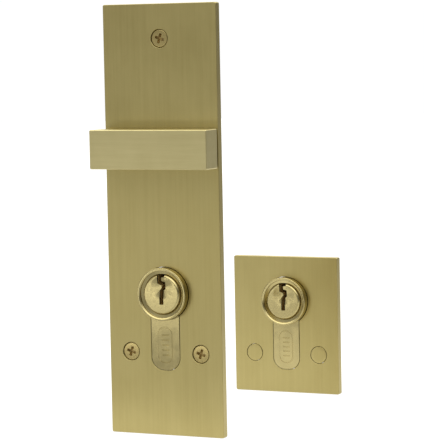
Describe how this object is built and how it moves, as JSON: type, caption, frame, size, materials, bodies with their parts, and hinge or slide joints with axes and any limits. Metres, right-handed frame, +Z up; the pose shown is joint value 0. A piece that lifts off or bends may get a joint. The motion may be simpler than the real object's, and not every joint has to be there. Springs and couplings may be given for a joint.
{
  "type": "deadbolt door lock",
  "caption": "Satin brass deadbolt door furniture: a tall interior plate with a turn bar and a profile cylinder, and a short exterior plate with a keyed profile cylinder.",
  "frame": {"origin": "centre of the interior plate's back face, where it lies on the door", "axes": "+Y into the door, along both plugs' axes, so the plates' faces look along -Y; +Z up along the plates; +X to the right as seen from in front"},
  "size_m": [0.0412, 0.1296, 0.1374],
  "materials": {
    "satin_brass": "satin, brushed along the plate",
    "bright_brass": "polished",
    "turned_brass": "fine turned",
    "steel": "plain",
    "nylon": "moulded"
  },
  "bodies": {
    "root": {"interior_plate": "satin_brass", "top_screw": "bright_brass", "fixing_screw_left": "bright_brass", "fixing_screw_right": "bright_brass", "turn_bush": "nylon", "exterior_plate": "satin_brass", "exterior_post_left": "satin_brass", "exterior_post_right": "satin_brass", "interior_cylinder_body": "turned_brass", "interior_chamber_cap_1": "turned_brass", "interior_chamber_cap_2": "turned_brass", "interior_chamber_cap_3": "turned_brass", "interior_pin_spring_1": "steel", "interior_pin_spring_2": "steel", "interior_pin_spring_3": "steel", "exterior_cylinder_body": "turned_brass", "exterior_chamber_cap_1": "turned_brass", "exterior_chamber_cap_2": "turned_brass", "exterior_chamber_cap_3": "turned_brass", "exterior_pin_spring_1": "steel", "exterior_pin_spring_2": "steel", "exterior_pin_spring_3": "steel", "interior_driver_pin_1": "bright_brass", "interior_driver_pin_2": "bright_brass", "interior_driver_pin_3": "bright_brass", "exterior_driver_pin_1": "bright_brass", "exterior_driver_pin_2": "bright_brass", "exterior_driver_pin_3": "bright_brass"},
    "turn": {"turn_bar": "satin_brass", "turn_neck": "turned_brass", "turn_washer": "steel", "turn_circlip": "steel", "turn_spindle": "steel", "turn_grub_screw": "steel"},
    "interior_plug_set": {"interior_plug": "bright_brass", "interior_cam": "steel", "interior_plug_clip": "steel", "interior_key_pin_1": "bright_brass", "interior_key_pin_2": "bright_brass", "interior_key_pin_3": "bright_brass"},
    "exterior_plug_set": {"exterior_plug": "bright_brass", "exterior_cam": "steel", "exterior_plug_clip": "steel", "exterior_key_pin_1": "bright_brass", "exterior_key_pin_2": "bright_brass", "exterior_key_pin_3": "bright_brass"}
  },
  "joints": [
    {"name": "turn_bar_turn", "type": "hinge", "parent": "root", "child": "turn", "pos_m": [0, 0, 0.023], "axis": [0, 1, 0], "range_deg": [0, 90]},
    {"name": "interior_plug_turn", "type": "hinge", "parent": "root", "child": "interior_plug_set", "pos_m": [0, 0, -0.0233], "axis": [0, 1, 0], "continuous": true},
    {"name": "exterior_plug_turn", "type": "hinge", "parent": "root", "child": "exterior_plug_set", "pos_m": [0, 0.0943, -0.036], "axis": [0, 1, 0], "continuous": true}
  ]
}
